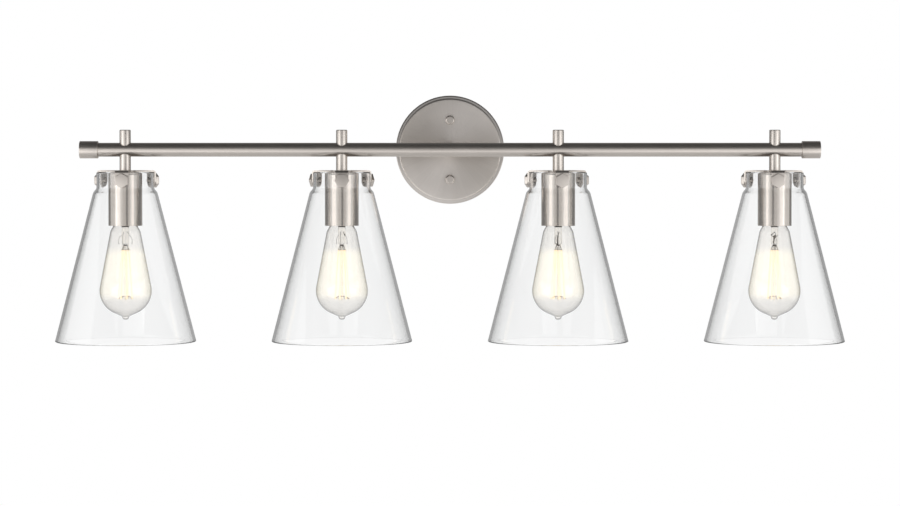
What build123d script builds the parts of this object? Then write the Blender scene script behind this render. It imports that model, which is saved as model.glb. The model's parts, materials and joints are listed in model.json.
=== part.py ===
from build123d import *
from math import cos, radians, sin
import os

os.makedirs("parts", exist_ok=True)

# Vanity light bar with four clear shades. Millimetres, +Z up, the front faces -Y.
# The origin is on the wall plane, at the centre of the mounting strap.

# Layout
light_spacing = 250.0
light_x = [(place - 1.5) * light_spacing for place in range(4)]
bar_y = -100.0  # the bar's axis stands this far off the wall
holder_turns = (-1.0, 2.2, 5.6, 0.5)  # degrees that each holder is turned about its stem
joint_gap = 0.05  # radial or face clearance where fixed pieces meet

# Bar, end caps and stems
bar_radius = 8.0
bar_wall = 1.2
bar_half_length = 424.0
cap_radius = 10.0
cap_length = 21.5
cap_end_wall = 3.5
cap_edge = 0.8
stem_radius = 6.5
stem_bore = 4.2
stem_top = 23.0
stem_chamfer = 0.7
window_radius = 3.5

# Threaded nipples and their nuts
nipple_radius = 5.0
nipple_bore = 3.6
nipple_top = -14.0
nipple_bottom = -39.0
nut_across_flats = 14.0
nut_thickness = 3.5

# Three-armed glass holder and its thumb screws
holder_top = -23.7
holder_thickness = 2.0
hub_radius = 12.4
arm_width = 15.0
tab_inner = 33.4
tab_outer = tab_inner + holder_thickness
bend_radius = 3.5
screw_z = -35.3
screw_angles = {"front": 0.0, "right": 120.0, "left": -120.0}
shank_radius = 2.45
shank_tip = 28.5
head_inner = tab_outer + 0.15
head_thickness = 3.8
head_across_flats = 15.0
head_edge = 0.6
head_turns = (30.0, 0.0, 30.0, 30.0)  # 30 degrees puts a corner of the hexagon at the bottom

# Socket cup and socket
cup_radius = 19.5
cup_wall = 1.2
cup_top = holder_top - holder_thickness - joint_gap
cup_bottom = -87.9
cup_shoulder = 3.6
socket_radius = 17.3
socket_top = -36.0
socket_plate = 3.0
chamber_radius = 12.0
chamber_bottom = -52.0
socket_floor = -56.0
socket_bottom = -86.0
socket_bore = 14.3
shell_radius = 14.1
shell_wall = 0.6
shell_bottom = -84.0
contact_radius = 4.5
contact_thickness = 1.2

# Glass shade
glass_wall = 3.0
shade_top = -26.2
neck_radius = 33.2
neck_bottom = -45.0
shoulder_radius = 36.9
shoulder_z = -49.0
rim_radius = 81.4
rim_z = -221.6
crease_fillet = 4.0
shoulder_fillet = 8.0
lip_fillet = 1.2
glass_hole_radius = 3.6

# Bulb
bulb_wall = 0.9
bulb_neck_radius = 12.2
bulb_end_z = -192.6
# Outline of the glass, radius and height, drawn as corners that are then rounded
bulb_corners = (
    (bulb_neck_radius, -79.0),
    (bulb_neck_radius, -85.2),
    (17.4, -94.4),
    (33.7, -179.7),
    (4.4, bulb_end_z),
    (0, bulb_end_z),
)
bulb_roundings = (5.0, 12.0, 28.0, 2.0)
pip_radius = 3.5
pip_length = 3.7
pip_taper = 12.0
pip_round = 1.6
base_radius = 13.2
base_wall = 0.8
base_bottom = -84.5
base_top = -63.5
base_shoulder = 2.0  # the cone between the thread and the insulator, and the tip's height
base_roof = 3.0
base_tip = -57.6
tip_radius = 4.6
press_radius = 4.2
press_flare = 10.5
press_top = -82.0
press_bottom = -108.0
press_cone = 6.0
rod_radius = 1.4
rod_cone = 3.0
rod_past_cage = 2.0
cage_radius = 8.0
cage_top = -116.0
cage_bottom = -172.0
ring_half = 0.8
spoke_width = 1.0
strand_radius = 0.45
strand_count = 8

# Canopy, strap and arm
canopy_radius = 64.0
canopy_wall = 1.0
canopy_depth = 22.0
canopy_rim_height = 3.5
canopy_step = 1.2
canopy_face_radius = 60.4
canopy_edge_fillet = 2.4
canopy_rim_fillet = 0.8
stud_clearance = 0.2  # round each stud where it passes the canopy
stud_spacing = 70.0
stud_radius = 2.0
stud_tip = -27.5
cap_nut_radius = 5.3
cap_nut_length = 7.5
cap_nut_edge = 1.6
strap_length = 106.0
strap_width = 18.0
strap_thickness = 1.8
strap_corner = 4.0
strap_hole = 5.3
box_screw_spacing = 88.9
box_slot_length = 9.0
box_slot_width = 5.0
ground_screw_x = 6.0
ground_screw_z = 22.0
ground_head_radius = 2.8
ground_head_height = 1.6
ground_slot_depth = 0.8
ground_slot_width = 0.7
ground_shank_radius = 1.9
arm_radius = 7.0
arm_bore = 4.0
spigot_end = -13.5

# Leads and wire connectors
lead_radius = 0.75
lead_bend = 4.0
lane_near = 2.7
lane_far = 1.0
lane_z = 1.05
lane_y = 1.1
lead_end = -44.0
connector_y = -9.5
connector_mouth = 14.0
connector_length = 16.0
connector_radius = 5.0
connector_tip_radius = 3.8
connector_bore = 3.7
connector_bore_depth = 8.0


def save(part, name):
    part.label = name
    export_step(part, f"parts/{name}.step")


def upright(x):
    """Section plane through a light's axis: its X is the radius, its Y the height."""
    return Plane(origin=(x, bar_y, 0), x_dir=(1, 0, 0), z_dir=(0, -1, 0))


def light_axis(x):
    return Axis((x, bar_y, 0), (0, 0, 1))


def radial_plane(x, angle, radius):
    """Plane facing away from a light's axis, centred on a thumb screw. Angle 0 is the front."""
    out_x = sin(radians(angle))
    out_y = -cos(radians(angle))
    centre = (x + radius * out_x, bar_y + radius * out_y, screw_z)
    return Plane(origin=centre, x_dir=(-out_y, out_x, 0), z_dir=(out_x, out_y, 0))


def screw_planes(x, turn, radius):
    return [radial_plane(x, turn + angle, radius) for angle in screw_angles.values()]


light_places = [(x, bar_y) for x in light_x]

# Mounting strap: flat bar on the wall, slotted for the outlet box screws.
with BuildPart() as mounting_strap:
    with BuildSketch(Plane.XZ):
        RectangleRounded(strap_width, strap_length, strap_corner)
        Circle(strap_hole, mode=Mode.SUBTRACT)
        with GridLocations(0, box_screw_spacing, 1, 2):
            SlotOverall(box_slot_length, box_slot_width, rotation=90, mode=Mode.SUBTRACT)
        with GridLocations(0, stud_spacing, 1, 2):
            Circle(stud_radius + joint_gap, mode=Mode.SUBTRACT)
        with Locations((ground_screw_x, ground_screw_z)):
            Circle(ground_shank_radius + joint_gap, mode=Mode.SUBTRACT)
    extrude(amount=strap_thickness)
save(mounting_strap.part, "mounting_strap")

with BuildPart() as canopy_studs:
    with BuildSketch(Plane.XZ):
        with GridLocations(0, stud_spacing, 1, 2):
            Circle(stud_radius)
    extrude(amount=-stud_tip)
save(canopy_studs.part, "canopy_studs")

# Ground screw: threaded through the strap, with a low round head.
with BuildPart() as ground_screw:
    with BuildSketch(Plane.XZ):
        with Locations((ground_screw_x, ground_screw_z)):
            Circle(ground_shank_radius)
    extrude(amount=strap_thickness + joint_gap)
    with BuildSketch(Plane.XZ.offset(strap_thickness + joint_gap)):
        with Locations((ground_screw_x, ground_screw_z)):
            Circle(ground_head_radius)
    extrude(amount=ground_head_height)
    with BuildSketch(Plane.XZ.offset(strap_thickness + joint_gap + ground_head_height)):
        with Locations((ground_screw_x, ground_screw_z)):
            Rectangle(3 * ground_head_radius, ground_slot_width)
    extrude(amount=-ground_slot_depth, mode=Mode.SUBTRACT)
save(ground_screw.part, "ground_screw")

# Canopy: a spun dish, open to the wall, with a stepped rim and a rounded front edge.
with BuildPart() as canopy:
    with BuildSketch(Plane.XY) as canopy_section:
        with BuildLine():
            canopy_outline = FilletPolyline(
                (canopy_radius, 0),
                (canopy_radius, -canopy_rim_height),
                (canopy_radius - canopy_step, -canopy_rim_height - canopy_step),
                (canopy_face_radius, -canopy_depth),
                (nipple_radius + joint_gap, -canopy_depth),
                radius=[canopy_rim_fillet, canopy_rim_fillet, canopy_edge_fillet],
            )
            offset(canopy_outline, amount=canopy_wall, side=Side.RIGHT)
        make_face()
    revolve(axis=Axis.Y)
    with BuildSketch(Plane.XZ):
        with GridLocations(0, stud_spacing, 1, 2):
            Circle(stud_radius + stud_clearance)
    extrude(amount=canopy_depth + 1, mode=Mode.SUBTRACT)
save(canopy.part, "canopy")

# Cap nuts: round, blind, with a softened front edge.
with BuildPart() as cap_nuts:
    with BuildSketch(Plane.XZ.offset(canopy_depth + joint_gap)):
        with GridLocations(0, stud_spacing, 1, 2):
            Circle(cap_nut_radius)
    extrude(amount=cap_nut_length)
    fillet(cap_nuts.faces().sort_by(Axis.Y)[:2].edges(), cap_nut_edge)
    with BuildSketch(Plane.XZ.offset(canopy_depth)):
        with GridLocations(0, stud_spacing, 1, 2):
            Circle(stud_radius + joint_gap)
    extrude(amount=-stud_tip - canopy_depth + joint_gap, mode=Mode.SUBTRACT)
save(cap_nuts.part, "cap_nuts")

# Arm: tube from the canopy's face to the back of the bar, coped to it, with a threaded spigot.
with BuildPart() as arm_tube:
    with BuildSketch(Plane.XZ.offset(canopy_depth + joint_gap)):
        Circle(arm_radius)
    extrude(amount=-bar_y - canopy_depth - joint_gap)
    with BuildSketch(Plane.XZ.offset(-spigot_end)):
        Circle(nipple_radius)
    extrude(amount=canopy_depth + 1 + spigot_end)
    with BuildSketch(Plane.XZ):
        Circle(arm_bore)
    extrude(amount=-bar_y, mode=Mode.SUBTRACT)
    with Locations((0, bar_y, 0)):
        Cylinder(bar_radius + joint_gap, 4 * arm_radius, rotation=(0, 90, 0), mode=Mode.SUBTRACT)
save(arm_tube.part, "arm_tube")

# Bar: round tube, drilled across for the stems and once at the back for the leads.
with BuildPart() as bar_tube:
    with BuildSketch(Plane.YZ):
        with Locations((bar_y, 0)):
            Circle(bar_radius)
            Circle(bar_radius - bar_wall, mode=Mode.SUBTRACT)
    extrude(amount=bar_half_length, both=True)
    with BuildSketch(Plane.XY.offset(-bar_radius)):
        with Locations(*light_places):
            Circle(stem_radius + joint_gap)
    extrude(amount=2 * bar_radius, mode=Mode.SUBTRACT)
    with BuildSketch(Plane.XZ):
        Circle(arm_bore)
    extrude(amount=-bar_y, mode=Mode.SUBTRACT)
save(bar_tube.part, "bar_tube")

# End caps: deep caps pushed over the bar's ends.
for name, side in (("end_cap_left", -1), ("end_cap_right", 1)):
    cap_face = bar_half_length + joint_gap + cap_end_wall
    with BuildPart() as end_cap:
        face_plane = Plane(origin=(side * cap_face, bar_y, 0), x_dir=(0, 1, 0), z_dir=(-side, 0, 0))
        with BuildSketch(face_plane):
            Circle(cap_radius)
        extrude(amount=cap_length)
        fillet(end_cap.edges().filter_by(GeomType.CIRCLE), cap_edge)
        with BuildSketch(face_plane.offset(cap_end_wall)):
            Circle(bar_radius + joint_gap)
        extrude(amount=cap_length, mode=Mode.SUBTRACT)
    save(end_cap.part, name)

# Threaded nipples: one through each stem's foot, holder, cup and socket.
with BuildPart() as nipples:
    with BuildSketch(Plane.XY.offset(nipple_bottom)):
        with Locations(*light_places):
            Circle(nipple_radius)
            Circle(nipple_bore, mode=Mode.SUBTRACT)
    extrude(amount=nipple_top - nipple_bottom)
save(nipples.part, "nipples")

# Locknuts: one under each cup's top, one on the arm's spigot inside the canopy.
with BuildPart() as locknuts:
    with BuildSketch(Plane.XY.offset(cup_top - cup_wall - joint_gap)):
        with Locations(*light_places):
            RegularPolygon(nut_across_flats / 2, 6, major_radius=False)
            Circle(nipple_radius + joint_gap, mode=Mode.SUBTRACT)
    extrude(amount=-nut_thickness)
    with BuildSketch(Plane.XZ.offset(canopy_depth - canopy_wall - joint_gap)):
        RegularPolygon(nut_across_flats / 2, 6, major_radius=False)
        Circle(nipple_radius + joint_gap, mode=Mode.SUBTRACT)
    extrude(amount=-nut_thickness)
save(locknuts.part, "locknuts")

# Screw shells and centre contacts: the brass inside each socket.
with BuildPart() as screw_shells:
    with BuildSketch(Plane.XY.offset(shell_bottom)):
        with Locations(*light_places):
            Circle(shell_radius)
            Circle(shell_radius - shell_wall, mode=Mode.SUBTRACT)
    extrude(amount=socket_floor - joint_gap - shell_bottom)
save(screw_shells.part, "screw_shells")

with BuildPart() as centre_contacts:
    with BuildSketch(Plane.XY.offset(socket_floor - joint_gap)):
        with Locations(*light_places):
            Circle(contact_radius)
    extrude(amount=-contact_thickness)
save(centre_contacts.part, "centre_contacts")

# Wire connectors: hollow tapered caps in the canopy, one above the arm and one below it.
with BuildPart() as wire_connectors:
    for side in (1, -1):
        mouth = Plane(origin=(0, connector_y, side * connector_mouth), z_dir=(0, 0, side))
        with BuildSketch(mouth):
            Circle(connector_radius)
        with BuildSketch(mouth.offset(connector_length)):
            Circle(connector_tip_radius)
        loft()
        with BuildSketch(mouth):
            Circle(connector_bore)
        extrude(amount=connector_bore_depth, mode=Mode.SUBTRACT)
save(wire_connectors.part, "wire_connectors")


# Leads: each runs from its connector through the arm and the bar, then down its stem.
def build_leads(name, level):
    with BuildPart() as leads:
        for x in light_x:
            side = 1 if x > 0 else -1
            is_near = abs(x) < light_spacing
            arm_x = side * (lane_near if is_near else lane_far)
            run_y = bar_y + (lane_y if is_near else -lane_y)
            drop_x = x + side * level * lane_z
            with BuildLine() as route:
                FilletPolyline(
                    (arm_x, connector_y, level * (connector_mouth + connector_bore_depth / 2)),
                    (arm_x, connector_y, level * lane_z),
                    (arm_x, run_y, level * lane_z),
                    (drop_x, run_y, level * lane_z),
                    (drop_x, run_y, lead_end),
                    radius=lead_bend,
                )
            with BuildSketch(Plane(origin=route.line @ 0, z_dir=route.line % 0)):
                Circle(lead_radius)
            sweep(path=route.wire())
    save(leads.part, name)


build_leads("black_leads", 1)
build_leads("white_leads", -1)

for number, (x, turn) in enumerate(zip(light_x, holder_turns), start=1):
    # Stem: turned rod through the bar, bored from below, with side windows for the leads.
    with BuildPart() as stem:
        with BuildSketch(Plane.XY.offset(holder_top + joint_gap)):
            with Locations((x, bar_y)):
                Circle(stem_radius)
        extrude(amount=stem_top - holder_top - joint_gap)
        chamfer(stem.edges().filter_by(GeomType.CIRCLE).sort_by(Axis.Z)[-1], stem_chamfer)
        with BuildSketch(Plane.XY.offset(holder_top)):
            with Locations((x, bar_y)):
                Circle(stem_bore)
        extrude(amount=window_radius - holder_top, mode=Mode.SUBTRACT)
        with BuildSketch(Plane.XY.offset(holder_top)):
            with Locations((x, bar_y)):
                Circle(nipple_radius + joint_gap)
        extrude(amount=nipple_top + joint_gap - holder_top, mode=Mode.SUBTRACT)
        with Locations((x, bar_y, 0)):
            Cylinder(window_radius, 3 * stem_radius, rotation=(0, 90, 0), mode=Mode.SUBTRACT)
    save(stem.part, f"stem_{number}")

    # Glass holder: hub and three flat arms, each bent down into a round-ended tab.
    with BuildPart() as glass_holder:
        with BuildSketch(Plane.XY.offset(holder_top)):
            with Locations((x, bar_y)):
                Circle(hub_radius)
                with PolarLocations(0, 3, start_angle=turn - 90):
                    Rectangle(tab_outer, arm_width, align=(Align.MIN, Align.CENTER))
                Circle(nipple_radius + joint_gap, mode=Mode.SUBTRACT)
        extrude(amount=-holder_thickness)
        with BuildSketch(*screw_planes(x, turn, tab_inner)):
            Rectangle(arm_width, holder_top - screw_z, align=(Align.CENTER, Align.MIN))
            Circle(arm_width / 2)
        extrude(amount=holder_thickness)
        bends = [
            edge
            for edge in glass_holder.edges().filter_by(GeomType.LINE)
            if abs(edge.center().Z - holder_top) < 0.01
            and abs((edge.center() - Vector(x, bar_y, holder_top)).length - tab_outer) < 0.01
        ]
        fillet(bends, bend_radius)
        with BuildSketch(*screw_planes(x, turn, tab_inner - 1)):
            Circle(shank_radius + joint_gap)
        extrude(amount=holder_thickness + 2, mode=Mode.SUBTRACT)
    save(glass_holder.part, f"glass_holder_{number}")

    # Socket cup: deep drawn cup with a rounded shoulder, open below.
    with BuildPart() as socket_cup:
        with BuildSketch(upright(x)):
            with BuildLine():
                cup_outline = FilletPolyline(
                    (nipple_radius + joint_gap, cup_top),
                    (cup_radius, cup_top),
                    (cup_radius, cup_bottom),
                    radius=cup_shoulder,
                )
                offset(cup_outline, amount=cup_wall, side=Side.RIGHT)
            make_face()
        revolve(axis=light_axis(x))
    save(socket_cup.part, f"socket_cup_{number}")

    # Socket body: ceramic, with a wiring chamber above and the lamp's bore below.
    with BuildPart() as socket_body:
        with BuildSketch(upright(x)):
            with BuildLine():
                Polyline(
                    (nipple_radius + joint_gap, socket_top),
                    (socket_radius, socket_top),
                    (socket_radius, socket_bottom),
                    (socket_bore, socket_bottom),
                    (socket_bore, socket_floor),
                    (0, socket_floor),
                    (0, chamber_bottom),
                    (chamber_radius, chamber_bottom),
                    (chamber_radius, socket_top - socket_plate),
                    (nipple_radius + joint_gap, socket_top - socket_plate),
                    close=True,
                )
            make_face()
        revolve(axis=light_axis(x))
    save(socket_body.part, f"socket_body_{number}")

    # Shade: blown clear glass, a straight neck, a round shoulder and a straight cone.
    with BuildPart() as shade:
        with BuildSketch(upright(x)):
            with BuildLine():
                shade_outline = FilletPolyline(
                    (neck_radius, shade_top),
                    (neck_radius, neck_bottom),
                    (shoulder_radius, shoulder_z),
                    (rim_radius, rim_z),
                    radius=[crease_fillet, shoulder_fillet],
                )
                offset(shade_outline, amount=glass_wall, side=Side.RIGHT)
            make_face()
        revolve(axis=light_axis(x))
        rings = shade.edges().filter_by(GeomType.CIRCLE).sort_by(Axis.Z)
        fillet(rings[:2] + rings[-2:], lip_fillet)
        with BuildSketch(*screw_planes(x, turn, cup_radius)):
            Circle(glass_hole_radius)
        extrude(amount=tab_inner - cup_radius + 1, mode=Mode.SUBTRACT)
    save(shade.part, f"shade_{number}")

    # Bulb: a thin teardrop envelope, open at the neck where the base closes it.
    with BuildPart() as bulb_glass:
        with BuildSketch(upright(x)):
            with BuildLine():
                bulb_outline = FilletPolyline(*bulb_corners, radius=bulb_roundings)
                offset(bulb_outline, amount=bulb_wall, side=Side.RIGHT)
            make_face()
        revolve(axis=light_axis(x))
        with BuildSketch(Plane.XY.offset(bulb_end_z + bulb_wall / 2)):
            with Locations((x, bar_y)):
                Circle(pip_radius)
        extrude(amount=-pip_length - bulb_wall / 2, taper=pip_taper)
        fillet(bulb_glass.edges().sort_by(Axis.Z)[0], pip_round)
    save(bulb_glass.part, f"bulb_glass_{number}")

    # Bulb base: screw shell closed at the top by the insulator and the tip contact.
    with BuildPart() as bulb_base:
        with BuildSketch(upright(x)):
            with BuildLine():
                Polyline(
                    (0, base_tip),
                    (tip_radius, base_tip),
                    (tip_radius, base_tip - base_shoulder),
                    (base_radius - base_shoulder, base_top),
                    (base_radius, base_top - base_shoulder),
                    (base_radius, base_bottom),
                    (base_radius - base_wall, base_bottom),
                    (base_radius - base_wall, base_top - base_roof),
                    (0, base_top - base_roof),
                    close=True,
                )
            make_face()
        revolve(axis=light_axis(x))
    save(bulb_base.part, f"bulb_base_{number}")

    # Filament mount: flared glass press, centre rod, and strands between two rings.
    with BuildPart() as bulb_filament:
        with BuildSketch(upright(x)):
            with BuildLine():
                Polyline(
                    (0, press_top),
                    (press_flare, press_top),
                    (press_radius, press_top - press_cone),
                    (press_radius, press_bottom),
                    (rod_radius, press_bottom - rod_cone),
                    (rod_radius, cage_bottom - rod_past_cage),
                    (0, cage_bottom - rod_past_cage),
                    close=True,
                )
            make_face()
        revolve(axis=light_axis(x))
        for level in (cage_top, cage_bottom):
            with BuildSketch(Plane.XY.offset(level)):
                with Locations((x, bar_y)):
                    Circle(cage_radius + ring_half)
                    Circle(cage_radius - ring_half, mode=Mode.SUBTRACT)
                    with PolarLocations(0, strand_count // 2):
                        Rectangle(cage_radius, spoke_width, align=(Align.MIN, Align.CENTER))
            extrude(amount=ring_half, both=True)
        with BuildSketch(Plane.XY.offset(cage_bottom)):
            with Locations((x, bar_y)):
                with PolarLocations(cage_radius, strand_count):
                    Circle(strand_radius)
        extrude(amount=cage_top - cage_bottom)
    save(bulb_filament.part, f"bulb_filament_{number}")

    # Thumb screws: hexagonal head outside the tab, plain end through the glass.
    for place, angle in screw_angles.items():
        with BuildPart() as thumb_screw:
            with BuildSketch(radial_plane(x, turn + angle, head_inner)):
                RegularPolygon(
                    head_across_flats / 2, 6, major_radius=False, rotation=head_turns[number - 1]
                )
            extrude(amount=head_thickness)
            away = radial_plane(x, turn + angle, head_inner).z_dir
            chamfer(thumb_screw.faces().sort_by(Axis((x, bar_y, 0), away))[-1].edges(), head_edge)
            with BuildSketch(radial_plane(x, turn + angle, shank_tip)):
                Circle(shank_radius)
            extrude(amount=head_inner - shank_tip)
        save(thumb_screw.part, f"thumb_screw_{number}_{place}")
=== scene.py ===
import json
import math

import bmesh
import bpy
from mathutils import Matrix, Vector


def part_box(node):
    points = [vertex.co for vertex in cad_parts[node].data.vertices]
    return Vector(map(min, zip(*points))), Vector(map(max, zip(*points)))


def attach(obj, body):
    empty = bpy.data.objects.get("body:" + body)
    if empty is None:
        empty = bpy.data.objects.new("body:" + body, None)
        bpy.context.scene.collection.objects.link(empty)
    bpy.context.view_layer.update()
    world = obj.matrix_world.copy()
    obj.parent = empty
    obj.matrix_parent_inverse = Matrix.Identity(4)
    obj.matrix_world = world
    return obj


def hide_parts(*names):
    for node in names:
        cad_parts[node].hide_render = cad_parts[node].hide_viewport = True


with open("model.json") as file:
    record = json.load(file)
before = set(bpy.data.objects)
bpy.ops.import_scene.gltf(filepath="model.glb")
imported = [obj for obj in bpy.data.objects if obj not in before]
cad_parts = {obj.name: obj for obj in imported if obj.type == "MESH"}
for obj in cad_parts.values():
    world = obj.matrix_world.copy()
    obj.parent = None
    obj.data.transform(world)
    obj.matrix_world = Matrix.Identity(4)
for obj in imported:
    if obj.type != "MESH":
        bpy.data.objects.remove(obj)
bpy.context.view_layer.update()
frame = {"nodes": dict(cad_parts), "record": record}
scene = bpy.context.scene
scene.view_settings.view_transform = "Standard"


# small helpers for node trees

class Wire:
    # a socket that takes part in sums
    def __init__(self, graph, socket):
        self.graph = graph
        self.socket = socket

    def math(self, operation, *values):
        return self.graph.node("ShaderNodeMath", {"operation": operation}, dict(enumerate(values)))

    def __add__(self, other):
        return self.math("ADD", self, other)

    def __sub__(self, other):
        return self.math("SUBTRACT", self, other)

    def __rsub__(self, other):
        return self.math("SUBTRACT", other, self)

    def __mul__(self, other):
        return self.math("MULTIPLY", self, other)

    def __truediv__(self, other):
        return self.math("DIVIDE", self, other)

    def __rtruediv__(self, other):
        return self.math("DIVIDE", other, self)

    __radd__ = __add__
    __rmul__ = __mul__

    def sibling(self, output):
        # another output of the node that this wire leaves
        return Wire(self.graph, self.socket.node.outputs[output])


class Graph:
    # one node tree, for a material, the world or a modifier
    def __init__(self, tree):
        self.tree = tree

    def node(self, kind, settings=None, inputs=None, output=0):
        made = self.tree.nodes.new(kind)
        for key, value in (settings or {}).items():
            if key == "stops":
                self.fillRamp(made.color_ramp, value)
            else:
                setattr(made, key, value)
        for key, value in (inputs or {}).items():
            self.feed(made.inputs[key], value)
        return Wire(self, made.outputs[output]) if made.outputs else None

    def feed(self, socket, value):
        for one in value if isinstance(value, list) else [value]:
            if isinstance(one, Wire):
                self.tree.links.new(one.socket, socket)
            else:
                socket.default_value = one

    def fillRamp(self, ramp, stops):
        while len(ramp.elements) < len(stops):
            ramp.elements.new(1.0)
        for element, (place, value) in zip(ramp.elements, stops):
            element.position = place
            element.color = value

    def blend(self, factor, first, second):
        return self.node("ShaderNodeMix", {"data_type": "RGBA"}, {0: factor, 6: first, 7: second}, 2)

    def ramp(self, factor, stops):
        return self.node("ShaderNodeValToRGB", {"stops": stops}, {0: factor})

    def split(self, vector):
        parts = self.node("ShaderNodeSeparateXYZ", None, {0: vector})
        return [parts.sibling(index) for index in range(3)]

    def join(self, x, y, z):
        return self.node("ShaderNodeCombineXYZ", None, {0: x, 1: y, 2: z})


def grey(level):
    return (level, level, level, 1.0)


def greys(*stops):
    # ramp stops from pairs of place and level
    return [(place, grey(level)) for place, level in stops]


# materials

class Finish(Graph):
    # a Principled material that starts with its uniform values
    def __init__(self, name, **values):
        self.material = bpy.data.materials.new(name)
        self.material.use_nodes = True
        super().__init__(self.material.node_tree)
        self.shader = self.tree.nodes["Principled BSDF"]
        for key, value in values.items():
            self.set(key.replace("_", " "), value)
        self.place = self.node("ShaderNodeTexCoord", None, None, "Object")

    def set(self, key, value):
        self.feed(self.shader.inputs[key], value)

    def stretched(self, x, y, z):
        return self.node("ShaderNodeVectorMath", {"operation": "MULTIPLY"}, {0: self.place, 1: (x, y, z)})

    def noise(self, vector, scale=1.0, detail=2.0, roughness=0.5):
        values = {"Vector": vector, "Scale": scale, "Detail": detail, "Roughness": roughness}
        return self.node("ShaderNodeTexNoise", None, values)

    def bump(self, height, distance):
        values = {"Strength": 1.0, "Distance": distance, "Height": height}
        self.set("Normal", self.node("ShaderNodeBump", None, values))


nickel = {
    "light": (0.77, 0.715, 0.665, 1.0),
    "dark": (0.69, 0.635, 0.585, 1.0),
    "roughness": 0.32,
    "groove": 0.0006,      # spacing of the brushed lines, in metres
    "grooveDepth": 0.000012,
    "grooveLength": 0.02,
    "grooveShine": 0.10,      # how much the lines and the soft clouds change the roughness
    "cloudShine": 0.06,
    "cloudScale": 18.0,
}


def brushedShine(lines, cloud, roughness):
    return (lines - 0.5) * nickel["grooveShine"] + (cloud - 0.5) * nickel["cloudShine"] + roughness


def brushedNickel(name, grain, roughness=nickel["roughness"], depth=nickel["grooveDepth"]):
    # grain gives how fast the brushed lines change along each axis
    finish = Finish(name, Metallic=1.0)
    fine = 1.0 / nickel["groove"]
    slow = 1.0 / nickel["grooveLength"]
    rates = [fine if letter == "f" else slow for letter in grain]
    lines = finish.noise(finish.stretched(*rates), detail=3.0, roughness=0.6)
    cloud = finish.noise(finish.place, scale=nickel["cloudScale"])
    finish.set("Base Color", finish.blend(cloud, nickel["dark"], nickel["light"]))
    finish.set("Roughness", brushedShine(lines, cloud, roughness))
    finish.bump(lines, depth)
    return finish.material


canopyGrainAndPaintedFans = {
    "light": (0.97, 0.91, 0.86, 1.0),
    "dark": (0.62, 0.57, 0.52, 1.0),
    "lean": 0.35,      # how far the two painted highlight fans lean to the right at the top, in radians
    "swing": 0.35,      # how strongly the painted highlight fans, the lines and the clouds change the tone
    "level": 0.50,
    "lineTone": 0.22,
    "cloudTone": 0.4,
    "cloudScale": 22.0,
    "lineRates": (160.0, 12.0, 40.0),      # how fast the lines change around, outwards and down the side
}


def spunNickelPaintedFans(name):
    # lines that run out from the middle of the canopy's face, and a painted highlight that is brightest in
    # two fans above and below
    finish = Finish(name, Metallic=1.0)
    x, y, z = finish.split(finish.place)
    angle = x.math("ARCTAN2", x, z)
    reach = finish.node("ShaderNodeVectorMath", {"operation": "LENGTH"}, {0: finish.join(x, 0.0, z)}, "Value")
    around = x.math("ABSOLUTE", x.math("SINE", angle * 0.5))
    turning, outwards, down = canopyGrainAndPaintedFans["lineRates"]
    rays = finish.join(around * turning, reach * outwards, y * down)
    lines = finish.noise(rays, detail=3.0, roughness=0.6)
    cloud = finish.noise(finish.place, scale=canopyGrainAndPaintedFans["cloudScale"])
    # painted highlight: the base colour is lighter in two fans above and below the middle
    fan = x.math("COSINE", (angle - canopyGrainAndPaintedFans["lean"]) * 2) * canopyGrainAndPaintedFans["swing"] + canopyGrainAndPaintedFans["level"]
    tone = fan + (lines - 0.5) * canopyGrainAndPaintedFans["lineTone"] + (cloud - 0.5) * canopyGrainAndPaintedFans["cloudTone"]
    finish.set("Base Color", finish.blend(tone, canopyGrainAndPaintedFans["dark"], canopyGrainAndPaintedFans["light"]))
    finish.set("Roughness", brushedShine(lines, cloud, nickel["roughness"]))
    finish.bump(lines, nickel["grooveDepth"])
    return finish.material


glass = {
    "ior": 1.47,
    "waveRates": (30.0, 30.0, 12.0),      # slow waves left by the blowing, longer up and down
    "smearScale": 60.0,
    "smearFrom": 0.62,      # noise above this level is a faint smear
    "smearRoughness": 0.012,
}


def clearGlass(name, tint, waviness):
    finish = Finish(name, Base_Color=tint, Transmission_Weight=1.0, IOR=glass["ior"])
    waves = finish.noise(finish.stretched(*glass["waveRates"]), detail=1.0)
    smear = finish.noise(finish.place, scale=glass["smearScale"], detail=3.0)
    smeared = smear.math("GREATER_THAN", smear, glass["smearFrom"])
    finish.set("Roughness", smeared * glass["smearRoughness"])
    finish.bump(waves, waviness)
    return finish


bulbGlow = {
    "top": -0.112,
    "bottom": -0.176,
    "fade": 0.010,
    "facing": 0.35,
    "color": (0.055, 0.048, 0.026, 1.0),
}


def glowingGlass(name, tint, waviness):
    # lit from inside between the two ends of the strands, most where the glass faces the eye
    finish = clearGlass(name, tint, waviness)
    z = finish.split(finish.place)[2]
    inside = z.math("MINIMUM", bulbGlow["top"] - z, z - bulbGlow["bottom"]) / bulbGlow["fade"]
    inside = z.math("MAXIMUM", z.math("MINIMUM", inside, 1.0), 0.0)
    facing = 1 - finish.node("ShaderNodeLayerWeight", None, {"Blend": bulbGlow["facing"]}, "Facing")
    finish.set("Emission Color", finish.blend(inside * facing, grey(0.0), bulbGlow["color"]))
    finish.set("Emission Strength", 1.0)
    return finish


strandGlow = {
    "body": (0.9, 0.55, 0.25, 1.0),
    "warm": (1.0, 0.86, 0.60, 1.0),
    "pale": (1.0, 0.95, 0.80, 1.0),
    "rates": (200.0, 200.0, 45.0),      # how fast the glow changes across and along the strands
    "strength": 0.95,
}


def warmGlow(name):
    glow = strandGlow
    finish = Finish(name, Base_Color=glow["body"], Roughness=0.6, Emission_Strength=glow["strength"])
    flicker = finish.noise(finish.stretched(*glow["rates"]))
    finish.set("Emission Color", finish.blend(flicker, glow["warm"], glow["pale"]))
    return finish.material


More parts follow.
